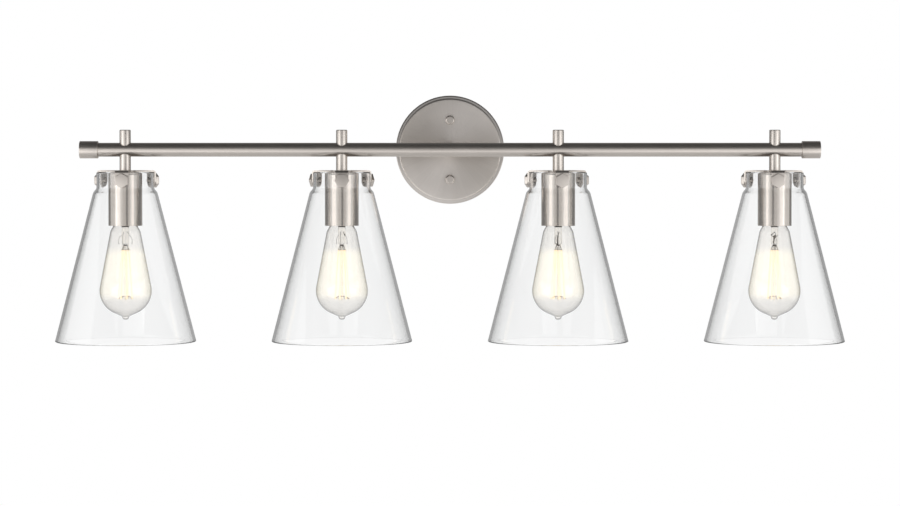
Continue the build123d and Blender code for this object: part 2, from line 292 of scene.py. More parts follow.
# how fine each coat's specks are, how many times coarser its clouds of colour, and how uneven its shine
coats = {
    "plated": {"metallic": 1.0, "grain": 300.0, "coarser": 12.0, "shine": 0.2},
    "moulded": {"metallic": 0.0, "grain": 500.0, "coarser": 15.0, "shine": 0.15},
}


def coated(kind, name, first, second, roughness, grain=None, depth=0.00002):
    coat = coats[kind]
    finish = Finish(name, Metallic=coat["metallic"])
    rate = grain or coat["grain"]
    specks = finish.noise(finish.place, scale=rate, detail=3.0)
    cloud = finish.noise(finish.place, scale=rate / coat["coarser"])
    finish.set("Base Color", finish.blend(cloud, (*first, 1.0), (*second, 1.0)))
    finish.set("Roughness", (specks - 0.5) * coat["shine"] + roughness)
    finish.bump(specks, depth)
    return finish.material


finishes = {
    "aroundBar": brushedNickel("nickel_brushed_round_the_bar", "fss"),
    "aroundStem": brushedNickel("nickel_brushed_round_the_stems", "ssf", 0.26, 0.000001),
    "aroundCup": brushedNickel("nickel_brushed_round_the_cups", "ssf", 0.19, 0.000008),
    "flat": brushedNickel("nickel_brushed_flat", "ssf", 0.34, 0.00002),
    "canopy": spunNickelPaintedFans("nickel_canopy"),
    "shadeGlass": clearGlass("glass_shade", (0.990, 0.992, 0.992, 1.0), 0.00003).material,
    "bulbGlass": glowingGlass("glass_bulb", (1.0, 0.990, 0.975, 1.0), 0.00002).material,
    "pressGlass": clearGlass("glass_press", (0.99, 0.975, 0.95, 1.0), 0.0001).material,
    "strand": warmGlow("glowing_strand"),
    "supportWire": coated("plated", "support_wire", (0.30, 0.28, 0.26), (0.42, 0.38, 0.34), 0.4),
    "bulbShell": coated("plated", "bulb_shell", (0.62, 0.60, 0.56), (0.74, 0.71, 0.67), 0.28),
    "solder": coated("plated", "solder", (0.50, 0.50, 0.50), (0.66, 0.66, 0.66), 0.45, 900.0, 0.0001),
    "vitrite": coated("moulded", "black_vitrite", (0.010, 0.010, 0.012), (0.025, 0.023, 0.028), 0.12),
    "brass": coated("plated", "socket_brass", (0.66, 0.46, 0.20), (0.80, 0.58, 0.28), 0.30),
    "ceramic": coated("moulded", "socket_ceramic", (0.74, 0.72, 0.68), (0.85, 0.83, 0.79), 0.22, 350.0),
    "zinc": coated("plated", "zinc_plate", (0.55, 0.56, 0.57), (0.74, 0.74, 0.72), 0.34, 160.0),
    "greenZinc": coated("plated", "green_zinc", (0.05, 0.30, 0.10), (0.12, 0.44, 0.16), 0.34, 400.0),
    "blackLead": coated("moulded", "black_insulation", (0.012, 0.012, 0.012), (0.03, 0.03, 0.03), 0.42),
    "whiteLead": coated("moulded", "white_insulation", (0.74, 0.73, 0.70), (0.84, 0.83, 0.80), 0.42),
    "orangePlastic": coated("moulded", "orange_plastic", (0.80, 0.20, 0.02), (0.90, 0.28, 0.04), 0.38),
}
print("materials:", len(finishes))


# outlines of turned pieces, as (radius, height) pairs

# a piece's own "longest" takes the place of "run", and its "segments" are the points round its axis
fineness = {
    "arc": 0.18,      # angle between points round a corner, in radians
    "run": 0.02,      # longest stretch between points along a straight side, in metres
    "hoop": 0.001,      # radius of the hoop that an outline is swept round
    "merge": 0.000002,      # points nearer than this become one, in the node trees
    "weld": 0.000001,      # and in a finished piece
}


def softened(corners, step=fineness["arc"], longest=fineness["run"]):
    # rounds each corner (radius, height, rounding) of a closed outline
    outline = []
    for index, (across, up, *rounding) in enumerate(corners):
        corner = Vector((across, up))
        before = Vector(corners[index - 1][:2])
        after = Vector(corners[(index + 1) % len(corners)][:2])
        size = rounding[0] if rounding else 0.0
        if size == 0.0:
            outline.append(corner)
            continue
        inward = (before - corner).normalized()
        outward = (after - corner).normalized()
        half = inward.angle(outward) / 2
        centre = corner + (inward + outward).normalized() * (size / math.sin(half))
        start = corner + inward * (size / math.tan(half)) - centre
        sweep = start.angle_signed(corner + outward * (size / math.tan(half)) - centre)
        count = max(2, round(abs(sweep) / step))
        outline += [centre + Matrix.Rotation(-sweep * k / count, 2) @ start for k in range(count + 1)]
    dense = []
    for index, point in enumerate(outline):
        following = outline[(index + 1) % len(outline)]
        count = max(1, math.ceil((following - point).length / longest))
        dense += [point.lerp(following, k / count) for k in range(count)]
    return dense


def walled(corners, wall, lip, longest=fineness["run"], step=fineness["arc"]):
    # a sheet of even thickness behind an open outline (radius, height, outer and inner rounding)
    points = [Vector(corner[:2]) for corner in corners]
    ways = [(b - a).normalized() for a, b in zip(points, points[1:])]
    ways = [ways[0], *ways, ways[-1]]
    inner = []
    for point, before, after in zip(points, ways, ways[1:]):
        square = Vector((before.y, -before.x))
        normal = (square + Vector((after.y, -after.x))).normalized()
        inner.append(point + normal * (wall / normal.dot(square)))
    rounds = [(lip, lip), *(corner[2:] for corner in corners[1:-1]), (lip, lip)]
    loop = [(*point, pair[0]) for point, pair in zip(points, rounds)]
    loop += [(*point, pair[1]) for point, pair in reversed(list(zip(inner, rounds)))]
    return softened(loop, step, longest)


def millimetres(corners):
    return [tuple(value / 1000 for value in corner) for corner in corners]


# node trees that make the meshes

socketKinds = {
    "Geometry": "NodeSocketGeometry",
    "Material": "NodeSocketMaterial",
    "float": "NodeSocketFloat",
    "int": "NodeSocketInt",
    "vector": "NodeSocketVector",
}


class Grower(Graph):
    # a Geometry Nodes tree with named inputs
    def __init__(self, name, **inputs):
        super().__init__(bpy.data.node_groups.new(name, "GeometryNodeTree"))
        face = self.tree.interface
        face.new_socket("Geometry", in_out="OUTPUT", socket_type="NodeSocketGeometry")
        face.new_socket("Geometry", in_out="INPUT", socket_type="NodeSocketGeometry")
        face.new_socket("Material", in_out="INPUT", socket_type="NodeSocketMaterial")
        for key, kind in inputs.items():
            face.new_socket(key, in_out="INPUT", socket_type=socketKinds[kind])
        self.entry = self.tree.nodes.new("NodeGroupInput")

    def given(self, key):
        return Wire(self, self.entry.outputs[key])

    def end(self, geometry):
        real = self.node("GeometryNodeRealizeInstances", None, {0: geometry})
        coated = {"Geometry": real, "Material": self.given("Material")}
        self.node("NodeGroupOutput", None, {0: self.node("GeometryNodeSetMaterial", None, coated)})

    def moved(self, geometry, translation=(0, 0, 0), rotation=(0, 0, 0)):
        values = {"Geometry": geometry, "Translation": translation, "Rotation": rotation}
        return self.node("GeometryNodeTransform", None, values)

    def hoop(self, points, radius):
        values = {"Resolution": points, "Radius": radius}
        return self.node("GeometryNodeCurvePrimitiveCircle", None, values)

    def tube(self, path, radius, sides, caps=True):
        ring = self.hoop(sides, radius)
        return self.node("GeometryNodeCurveToMesh", None, {0: path, 1: ring, "Fill Caps": caps})

    def merged(self, geometry):
        values = {"Geometry": geometry, "Distance": fineness["merge"]}
        return self.node("GeometryNodeMergeByDistance", None, values)

    def seen(self):
        # the place of each point, as three wires
        return self.split(self.node("GeometryNodeInputPosition"))

    def repeated(self, geometry):
        # copies in a straight row, from the inputs Place, Step and Copies
        row = self.node("GeometryNodeMeshLine", None, {
            "Count": self.given("Copies"),
            "Start Location": self.given("Place"),
            "Offset": self.given("Step"),
        })
        return self.node("GeometryNodeInstanceOnPoints", None, {"Points": row, "Instance": geometry})

    def joined(self, *parts):
        return self.node("GeometryNodeJoinGeometry", None, {0: list(parts)})

    def grow(self, name, material, source=None, **values):
        # runs the tree once and keeps the result as a plain mesh
        host = bpy.data.objects.new(name, source or bpy.data.meshes.new(name))
        scene.collection.objects.link(host)
        modifier = host.modifiers.new("Nodes", "NODES")
        modifier.node_group = self.tree
        values["Material"] = material
        for item in self.tree.interface.items_tree:
            if item.in_out == "INPUT" and item.name in values:
                value = values[item.name]
                modifier[item.identifier] = float(value) if item.socket_type == "NodeSocketFloat" else value
        ready = host.evaluated_get(bpy.context.evaluated_depsgraph_get())
        mesh = bpy.data.meshes.new_from_object(ready)
        bpy.data.objects.remove(host)
        return mesh


def turnedTree():
    # sweeps an outline round a hoop, which turns it like a lathe, then rolls a thread into it
    tree = Grower("turned", Segments="int", Hoop="float", Facing="vector", Place="vector",
                  Step="vector", Copies="int", Depth="float", Pitch="float", From="float", To="float")
    outline = tree.node("GeometryNodeMeshToCurve", None, {"Mesh": tree.given("Geometry")})
    outline = tree.moved(outline, tree.join(0.0 - tree.given("Hoop"), 0.0, 0.0))
    hoop = tree.hoop(tree.given("Segments"), tree.given("Hoop"))
    form = tree.merged(tree.node("GeometryNodeCurveToMesh", None, {0: hoop, 1: outline}))
    x, y, z = tree.seen()
    around = x.math("ARCTAN2", y, x)
    wave = x.math("COSINE", z / tree.given("Pitch") * (2 * math.pi) - around)
    fade = x.math("MINIMUM", z - tree.given("From"), tree.given("To") - z) * 2 / tree.given("Pitch")
    fade = x.math("MAXIMUM", x.math("MINIMUM", fade, 1.0), 0.0)
    sink = (1 - wave) * 0.5 * fade * tree.given("Depth")
    flat = tree.join(x, y, 0.0)
    inward = tree.node("ShaderNodeVectorMath", {"operation": "NORMALIZE"}, {0: flat})
    offset = tree.node("ShaderNodeVectorMath", {"operation": "SCALE"}, {0: inward, "Scale": 0 - sink})
    form = tree.node("GeometryNodeSetPosition", None, {"Geometry": form, "Offset": offset})
    tree.end(tree.repeated(tree.moved(form, rotation=tree.given("Facing"))))
    return tree


def beadTree():
    # a thin bead of braze where a stem enters the bar, above and below, at each light
    tree = Grower("bead", Stem="float", Bar="float", Bead="float", Points="int", Sides="int",
                  Place="vector", Step="vector", Copies="int")
    ring = tree.hoop(tree.given("Points"), tree.given("Stem"))
    x, y, z = tree.seen()
    lift = x.math("SQRT", x.math("MAXIMUM", tree.given("Bar") * tree.given("Bar") - y * y, 0.0))
    beads = []
    for side in (1.0, -1.0):
        path = tree.node("GeometryNodeSetPosition", None, {
            "Geometry": ring, "Position": tree.join(x, y, lift * side)})
        beads.append(tree.tube(path, tree.given("Bead"), tree.given("Sides"), False))
    tree.end(tree.repeated(tree.joined(*beads)))
    return tree


def headTree():
    # a thumb screw's hexagonal head, with rounded corners and a rounded outer edge
    tree = Grower("head", Across="float", Thickness="float", Corner="float", Edge="float", Turn="float",
                  Facing="vector", Place="vector")
    sides, cornerSteps, edgeSteps = 6, 5, 4
    radius = tree.given("Across") / (2 * math.cos(math.pi / sides))
    hexagon = tree.moved(tree.hoop(sides, radius), rotation=tree.join(0.0, 0.0, tree.given("Turn")))
    hexagon = tree.node("GeometryNodeFilletCurve", {"mode": "POLY"}, {
        "Curve": hexagon, "Count": cornerSteps, "Radius": tree.given("Corner"), "Limit Radius": True})
    face = tree.node("GeometryNodeFillCurve", {"mode": "NGONS"}, {"Curve": hexagon})
    under = tree.node("GeometryNodeFlipFaces", None, {"Mesh": face})
    # the flat side first, then the steps that round its outer edge
    edge = tree.given("Edge")
    rises = [tree.given("Thickness") - edge]
    insets = [0.0]
    turns = [math.pi / 2 * k / edgeSteps for k in range(edgeSteps + 1)]
    for before, after in zip(turns, turns[1:]):
        rises.append(edge * (math.sin(after) - math.sin(before)))
        insets.append(1 - math.cos(after))
    top = face
    chosen = True
    scale = 1.0
    for rise, inset in zip(rises, insets):
        top = tree.node("GeometryNodeExtrudeMesh", {"mode": "FACES"}, {
            "Mesh": top, "Selection": chosen, "Offset": (0.0, 0.0, 1.0), "Offset Scale": rise,
            "Individual": False}, "Mesh")
        chosen = top.sibling("Top")
        wanted = 1.0 - edge * inset * 2 / tree.given("Across")
        top = tree.node("GeometryNodeScaleElements", None, {
            "Geometry": top, "Selection": chosen, "Scale": wanted / scale})
        scale = wanted
    solid = tree.moved(tree.merged(tree.joined(top, under)), rotation=tree.given("Facing"))
    tree.end(tree.moved(solid, tree.given("Place")))
    return tree


def fanTree():
    # wires that fan out round a bulb's axis, each from one radius and height to another
    tree = Grower("fan", Wires="int", First="float", From="vector", Over="vector", To="vector",
                  Thickness="float", Eye="float", Place="vector")
    wirePoints, eyePoints, sides = 12, 14, 8
    wire = tree.node("GeometryNodeCurveQuadraticBezier", None, {
        "Resolution": wirePoints,
        "Start": tree.given("From"),
        "Middle": tree.given("Over"),
        "End": tree.given("To"),
    })
    wire = tree.tube(wire, tree.given("Thickness"), sides)
    eye = tree.tube(tree.hoop(eyePoints, tree.given("Eye")), tree.given("Thickness"), sides, False)
    eye = tree.moved(eye, tree.given("To"))
    hub = tree.node("GeometryNodePoints", None, {"Count": tree.given("Wires")})
    turn = tree.node("GeometryNodeInputIndex") * (2 * math.pi) / tree.given("Wires") + tree.given("First")
    hub = tree.node("GeometryNodeInstanceOnPoints", None, {
        "Points": hub, "Instance": tree.joined(wire, eye), "Rotation": tree.join(0.0, 0.0, turn)})
    tree.end(tree.moved(hub, tree.given("Place")))
    return tree


def drilledTree():
    # round holes through a shade's neck, evenly spaced about its axis
    tree = Grower("drilled", Centre="vector", Turn="float", Hole="float", Sides="int", Reach="float",
                  Holes="int")
    ring = tree.node("GeometryNodeMeshCircle", None, {
        "Vertices": tree.given("Holes"), "Radius": tree.given("Reach")})
    x, y, z = tree.seen()
    around = x.math("ARCTAN2", y, x)
    drill = tree.node("GeometryNodeMeshCylinder", None, {
        "Vertices": tree.given("Sides"), "Radius": tree.given("Hole"), "Depth": tree.given("Reach")})
    drill = tree.moved(drill, rotation=(0.0, math.pi / 2, 0.0))
    drills = tree.node("GeometryNodeInstanceOnPoints", None, {
        "Points": ring, "Instance": drill, "Rotation": tree.join(0.0, 0.0, around)})
    drills = tree.node("GeometryNodeRealizeInstances", None, {0: drills})
    drills = tree.moved(drills, rotation=tree.join(0.0, 0.0, tree.given("Turn")))
    drills = tree.moved(drills, tree.given("Centre"))
    values = {"Mesh 1": tree.given("Geometry"), "Mesh 2": drills}
    settings = {"operation": "DIFFERENCE", "solver": "EXACT"}
    tree.end(tree.node("GeometryNodeMeshBoolean", settings, values))
    return tree


turned = turnedTree()
drilled = drilledTree()
beaded = beadTree()
headed = headTree()
fanned = fanTree()

facings = {
    "up": (0.0, 0.0, 0.0),
    "front": (math.pi / 2, 0.0, 0.0),
    "right": (0.0, math.pi / 2, 0.0),
    "left": (0.0, -math.pi / 2, 0.0),
}


def loopMesh(name, outline):
    mesh = bpy.data.meshes.new(name)
    points = [(across, -up, 0.0) for across, up in outline]
    edges = [(k, (k + 1) % len(points)) for k in range(len(points))]
    mesh.from_pydata(points, edges, [])
    return mesh


def shell(name, outline, material, place, facing="up", segments=96, step=(0.0, 0.0, 0.0), copies=1,
          thread=(0.0, 1.0, 0.0, 1.0)):
    # thread is its depth, pitch, first height and last height, and a depth of 0 leaves it out
    depth, pitch, start, end = thread
    turn = facings[facing] if isinstance(facing, str) else facing
    return turned.grow(name, material, loopMesh(name, outline), Segments=segments, Hoop=fineness["hoop"],
                       Facing=turn, Place=place, Step=step, Copies=copies, Depth=depth, Pitch=pitch,
                       From=start, To=end)


def together(name, *meshes):
    # several meshes as one, each with its own material
    work = bmesh.new()
    whole = bpy.data.meshes.new(name)
    for index, mesh in enumerate(meshes):
        before = len(work.faces)
        work.from_mesh(mesh)
        work.faces.ensure_lookup_table()
        for face in work.faces[before:]:
            face.material_index = index
        whole.materials.append(mesh.materials[-1])
    work.to_mesh(whole)
    work.free()
    return whole


def smoothed(mesh, angle):
    # merged, facing outwards, smooth except across sharp edges
    work = bmesh.new()
    work.from_mesh(mesh)
    bmesh.ops.remove_doubles(work, verts=work.verts, dist=fineness["weld"])
    bmesh.ops.recalc_face_normals(work, faces=work.faces)
    work.to_mesh(mesh)
    work.free()
    mesh.shade_smooth()
    mesh.set_sharp_from_angle(angle=math.radians(angle))


def finishPiece(name, mesh, body, slot, *nodes, angle=32.0):
    # edges sharper than the angle, in degrees, stay crisp
    smoothed(mesh, angle)
    piece = bpy.data.objects.new(name, mesh)
    scene.collection.objects.link(piece)
    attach(piece, body)
    if nodes:
        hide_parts(*nodes)


def bodyOf(node):
    groups = frame["record"]["behaviour"]["bodies"]
    return next(body for body, members in groups.items() if node in members)


def copied(node, material, slot):
    # a CAD node's own shape, merged and smoothly shaded
    mesh = frame["nodes"][node].data.copy()
    mesh.materials.clear()
    mesh.materials.append(material)
    finishPiece(node + "_shape", mesh, bodyOf(node), slot, node)


def middle(node):
    lowest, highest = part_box(node)
    return (lowest + highest) / 2


def span(node):
    lowest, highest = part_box(node)
    return highest - lowest


numbers = range(1, 5)
barY = middle("bar_tube").y
lightX = [middle(f"stem_{number}").x for number in numbers]
lightStep = (lightX[1] - lightX[0], 0.0, 0.0)


# bar, end caps, stems

barShape = {
    "wall": 0.0012,
    "longest": 0.05,
    "capEdge": 0.0008,
    "capWall": 0.0035,
    "capFit": 0.00005,      # gap all round between the bar and its caps
    "stemEdge": 0.0007,
    "bead": 0.0003,
    "beadPoints": 72,
    "beadSides": 10,
}


def makeBar():
    radius = span("bar_tube").z / 2
    half = span("bar_tube").x / 2
    inner = radius - barShape["wall"]
    corners = [(radius, -half), (radius, half), (inner, half), (inner, -half)]
    outline = softened(corners, longest=barShape["longest"])
    mesh = shell("bar", outline, finishes["aroundBar"], (0.0, barY, 0.0), "right")
    finishPiece("bar", mesh, "root", "satin_nickel", "bar_tube")
    for name, facing in (("end_cap_left", "left"), ("end_cap_right", "right")):
        lowest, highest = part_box(name)
        outer = (highest.z - lowest.z) / 2
        length = highest.x - lowest.x
        bore = radius + barShape["capFit"]
        edge = barShape["capEdge"]
        floor = length - barShape["capWall"]
        outline = softened([(0.0, length), (outer, length, edge), (outer, 0.0, edge), (bore, 0.0),
                            (bore, floor), (0.0, floor)])
        start = highest.x if facing == "left" else lowest.x
        mesh = shell(name, outline, finishes["aroundBar"], (start, barY, 0.0), facing)
        finishPiece(name + "_turned", mesh, "root", "satin_nickel", name)


def makeStems():
    for number, x in zip(numbers, lightX):
        node = f"stem_{number}"
        lowest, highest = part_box(node)
        radius = (highest.x - lowest.x) / 2
        edge = barShape["stemEdge"]
        bevel = [(radius - edge, highest.z, edge / 3), (radius, highest.z - edge, edge / 3)]
        outline = softened([(0.0, highest.z), *bevel, (radius, lowest.z), (0.0, lowest.z)])
        mesh = shell(node, outline, finishes["aroundStem"], (x, barY, 0.0))
        finishPiece(node + "_turned", mesh, "root", "satin_nickel", node)


def makeBeads():
    mesh = beaded.grow("beads", finishes["aroundStem"], Stem=span("stem_1").x / 2, Bar=span("bar_tube").z / 2,
                       Bead=barShape["bead"], Points=barShape["beadPoints"], Sides=barShape["beadSides"],
                       Place=(lightX[0], barY, 0.0), Step=lightStep, Copies=len(lightX))
    finishPiece("braze_beads", mesh, "root", "satin_nickel")


makeBar()
makeStems()
makeBeads()
print("bar and stems")


# canopy and its nuts

canopyShape = {
    "rimHeight": 0.0035,
    "step": 0.0012,
    "faceRadius": 0.0604,
    "wall": 0.001,
    "rimRound": 0.0008,
    "faceRound": 0.0024,
    "lip": 0.0002,
    "hole": 0.00505,
    "segments": 192,
    "nutEdge": 0.0016,
    "nutFoot": 0.0002,
    "nutSegments": 64,
}


def makeCanopy():
    size = span("canopy")
    radius, depth = size.x / 2, size.y
    rim, step = canopyShape["rimHeight"], canopyShape["step"]
    soft, wall = canopyShape["rimRound"], canopyShape["wall"]
    corners = [
        (canopyShape["hole"], depth),
        (canopyShape["faceRadius"], depth, canopyShape["faceRound"], canopyShape["faceRound"] - wall),
        (radius - step, rim + step, soft, soft + wall),
        (radius, rim, soft, soft / 2),
        (radius, 0.0),
    ]
    outline = walled(corners, wall, canopyShape["lip"])
    mesh = shell("canopy", outline, finishes["canopy"], (0.0, 0.0, 0.0), "front", canopyShape["segments"])
    finishPiece("canopy_spun", mesh, "root", "satin_nickel", "canopy")


def makeCapNuts():
    lowest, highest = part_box("cap_nuts")
    radius = (highest.x - lowest.x) / 2
    length = highest.y - lowest.y
    outer = [(radius, length, canopyShape["nutEdge"]), (radius, 0.0, canopyShape["nutFoot"])]
    outline = softened([(0.0, length), *outer, (0.0, 0.0)])
    place = (0.0, highest.y, lowest.z + radius)
    apart = (0.0, 0.0, highest.z - lowest.z - 2 * radius)
    mesh = shell("cap_nuts", outline, finishes["flat"], place, "front", canopyShape["nutSegments"], apart, 2)
    finishPiece("cap_nuts_turned", mesh, "root", "satin_nickel", "cap_nuts")


makeCanopy()
makeCapNuts()
print("canopy")


# cups, shades and bulbs

cupShape = {"wall": 0.0012, "shoulder": 0.0036, "hole": 0.00505, "lip": 0.0003, "segments": 128}


def makeCups():
    for number, x in zip(numbers, lightX):
        node = f"socket_cup_{number}"
        lowest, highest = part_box(node)
        radius = (highest.x - lowest.x) / 2
        shoulder, wall = cupShape["shoulder"], cupShape["wall"]
        corners = [
            (cupShape["hole"], highest.z),
            (radius, highest.z, shoulder, shoulder - wall),
            (radius, lowest.z),
        ]
        mesh = shell(node, walled(corners, wall, cupShape["lip"]), finishes["aroundCup"], (x, barY, 0.0),
                     segments=cupShape["segments"])
        finishPiece(node + "_drawn", mesh, "root", "satin_nickel", node)


# holders are turned a little about their stems, and press on each shade at three places, in degrees
holderShape = {
    "turns": (-1.0, 2.2, 5.6, 0.5),
    "places": {"front": 0.0, "right": 120.0, "left": -120.0},
}

shadeShape = {
    "wall": 0.003,
    "neckRadius": 0.0332,
    "neckBottom": -0.045,
    "shoulderRadius": 0.0369,
    "shoulderHeight": -0.049,
    "rimRadius": 0.0814,
    "rimHeight": -0.2216,
    "crease": (0.004, 0.007),      # outer and inner rounding where the neck turns out
    "shoulder": (0.008, 0.005),
    "lip": 0.0012,
    "longest": 0.003,
    "segments": 192,
    "hole": 0.0036,
    "holeSides": 48,
    "creaseAngle": 40.0,
}


def makeShades():
    for number, x in zip(numbers, lightX):
        node = f"shade_{number}"
        corners = [
            (shadeShape["neckRadius"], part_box(node)[1].z),
            (shadeShape["neckRadius"], shadeShape["neckBottom"], *shadeShape["crease"]),
            (shadeShape["shoulderRadius"], shadeShape["shoulderHeight"], *shadeShape["shoulder"]),
            (shadeShape["rimRadius"], shadeShape["rimHeight"]),
        ]
        outline = walled(corners, shadeShape["wall"], shadeShape["lip"], shadeShape["longest"])
        mesh = shell(node, outline, finishes["shadeGlass"], (x, barY, 0.0), segments=shadeShape["segments"])
        # the first hole faces the front, turned with the holder
        turn = math.radians(holderShape["turns"][number - 1] - 90.0)
        mesh = drilled.grow(node, finishes["shadeGlass"], mesh,
                            Centre=(x, barY, middle(f"thumb_screw_{number}_front").z), Turn=turn,
                            Hole=shadeShape["hole"], Sides=shadeShape["holeSides"],
                            Reach=shadeShape["neckRadius"], Holes=len(holderShape["places"]))
        finishPiece(node + "_blown", mesh, "root", "clear_glass", node, angle=shadeShape["creaseAngle"])


bulbShape = {
    "wall": 0.0009,
    "longest": 0.004,
    "arcStep": 0.06,
    "creaseAngle": 60.0,
    "corners": (      # radius, height, and outer and inner rounding, in millimetres
        (12.2, -79.0), (12.2, -85.2, 5.0, 5.9), (17.4, -94.4, 12.0, 11.1), (33.7, -179.7, 28.0, 27.1),
        (4.2, -192.6, 1.2, 2.1), (3.0, -196.2, 1.8, 0.9), (0.0, -196.28)),
}


def makeBulbs():
    shape = bulbShape
    outline = walled(millimetres(shape["corners"]), shape["wall"], 0.0, shape["longest"], shape["arcStep"])
    for number, x in zip(numbers, lightX):
        node = f"bulb_glass_{number}"
        mesh = shell(node, outline, finishes["bulbGlass"], (x, barY, 0.0))
        finishPiece(node + "_blown", mesh, f"bulb_{number}", "bulb_glass", node, angle=shape["creaseAngle"])


mountShape = {
    "press": (      # radius, height and rounding, in millimetres
        (0.0, -82.0, 0.0), (10.5, -82.0, 0.4), (7.0, -84.5, 3.0), (4.2, -89.0, 4.0), (4.2, -108.0, 1.5),
        (1.4, -111.0, 1.0), (1.4, -173.6, 0.9), (0.0, -174.0, 0.0)),
    "pressLongest": 0.004,
    "pressSegments": 40,
    "creaseAngle": 50.0,
    "nextTurn": 0.35,      # each mount is turned this much more than the one before, in radians
    # strands run from the upper hooks to the lower ones, in two sets that lean opposite ways
    "top": (0.0042, 0.0, -0.1160),
    "bottom": (0.0082, 0.0, -0.1722),
    "strands": 7,
    "strand": 0.0003,
    "strandEye": 0.0006,
    "sets": ((1, 0.0), (-1, 0.30)),      # which way each set leans, and its turn about the axis
    "lean": 0.0016,
    "bowHeight": -0.145,
    "bowRadius": 0.80,      # as a share of the radius at the bottom
    # the other wires, each as its start, its bend, its end and how many there are
    "hook": 0.00022,
    "hookEye": 0.0007,
    "hooks": (
        ((0.0012, 0.0, -0.1095), (0.0026, 0.0006, -0.1105), (0.0042, 0.0, -0.1160), 7),
        ((0.0011, 0.0, -0.1695), (0.0050, 0.0, -0.1690), (0.0082, 0.0, -0.1722), 7),
        ((0.0014, 0.0, -0.0950), (0.0052, 0.0040, -0.1010), (0.0030, 0.0012, -0.1150), 2),
        ((0.0034, 0.0, -0.0990), (0.0092, 0.0010, -0.1000), (0.0078, 0.0, -0.1085), 2)),
}


def makeMounts():
    # glass press and rod, the hooks that hold the strands, and the strands between them
    shape = mountShape
    outline = softened(millimetres(shape["press"]), longest=shape["pressLongest"])
    bottomRadius = shape["bottom"][0]
    for number, x in zip(numbers, lightX):
        node = f"bulb_filament_{number}"
        place = (x, barY, 0.0)
        first = shape["nextTurn"] * number
        parts = [shell(node, outline, finishes["pressGlass"], place, segments=shape["pressSegments"])]
        for side, turn in shape["sets"]:
            lean = shape["lean"] * side
            bow = (bottomRadius * shape["bowRadius"], lean * 0.5, shape["bowHeight"])
            parts.append(fanned.grow(
                node, finishes["strand"], Wires=shape["strands"], First=first + turn, From=shape["top"],
                Over=bow, To=(bottomRadius, lean, shape["bottom"][2]), Thickness=shape["strand"],
                Eye=shape["strandEye"], Place=place))
        for start, over, end, count in shape["hooks"]:
            parts.append(fanned.grow(
                node, finishes["supportWire"], Wires=count, First=first, From=start, Over=over, To=end,
                Thickness=shape["hook"], Eye=shape["hookEye"], Place=place))
        finishPiece(node + "_mount", together(node, *parts), f"bulb_{number}", "filament_wire", node,
                    angle=shape["creaseAngle"])


baseShape = {
    # outlines are radius, height and rounding in millimetres, and the other sizes are in metres
    "shell": ((13.2, -84.4, 0.3), (13.2, -65.5, 1.0), (11.2, -63.5, 0.4), (10.6, -63.5, 0.2),
              (10.6, -66.3, 0.0), (12.4, -66.3, 0.3), (12.4, -84.4, 0.2)),
    "vitrite": ((0.0, -60.4, 0.0), (5.2, -60.4, 0.6), (11.0, -63.55, 0.3), (11.9, -66.2, 0.0),
                (0.0, -66.4, 0.0)),
    "vitriteSegments": 64,
    "solder": ((0.0, -57.6, 0.0), (2.6, -57.7, 2.0), (4.6, -58.8, 0.8), (4.6, -60.6, 0.0),
               (0.0, -60.6, 0.0)),
    "solderSegments": 48,
    "thread": (0.0008, 0.00363, -0.0795, -0.0655),      # depth, pitch, first and last height
    "longest": 0.0005,
    "brassTop": -0.05605,
    "brassBottom": -0.084,
    "brassRadius": 0.0141,
    "brassWall": 0.0006,
}


def makeBases():
    shape = baseShape
    metalOutline = softened(millimetres(shape["shell"]), longest=shape["longest"])
    blackOutline = softened(millimetres(shape["vitrite"]))
    tipOutline = softened(millimetres(shape["solder"]))
    for number, x in zip(numbers, lightX):
        node = f"bulb_base_{number}"
        place = (x, barY, 0.0)
        metal = shell(node, metalOutline, finishes["bulbShell"], place, thread=shape["thread"])
        black = shell(node, blackOutline, finishes["vitrite"], place, segments=shape["vitriteSegments"])
        tip = shell(node, tipOutline, finishes["solder"], place, segments=shape["solderSegments"])
        mesh = together(node, metal, black, tip)
        finishPiece(node + "_threaded", mesh, f"bulb_{number}", "bulb_nickel", node)


def makeShells():
    # the four brass screw shells, rolled to the same thread as the bulbs
    shape = baseShape
    radius, top, bottom = shape["brassRadius"], shape["brassTop"], shape["brassBottom"]
    inner = radius - shape["brassWall"]
    corners = [(radius, bottom), (radius, top), (inner, top), (inner, bottom)]
    mesh = shell("screw_shells", softened(corners, longest=shape["longest"]), finishes["brass"],
                 (lightX[0], barY, 0.0), step=lightStep, copies=len(lightX), thread=shape["thread"])
    finishPiece("screw_shells_rolled", mesh, "root", "socket_brass", "screw_shells")


screwShape = {
    "headTurns": (30.0, 0.0, 30.0, 30.0),      # at each light, in degrees
    "headInner": 0.03555,
    "headThickness": 0.0038,
    "acrossFlats": 0.015,
    "corner": 0.0011,
    "edge": 0.0006,
    "shank": 0.00245,
    "tip": 0.0285,
    "tipRound": 0.0005,
    "intoHead": 0.0005,      # how far the shank runs into the head
    "longest": 0.0001,
    "segments": 24,
    "thread": 0.00035,
    "pitch": 0.0008,
    "creaseAngle": 35.0,
}


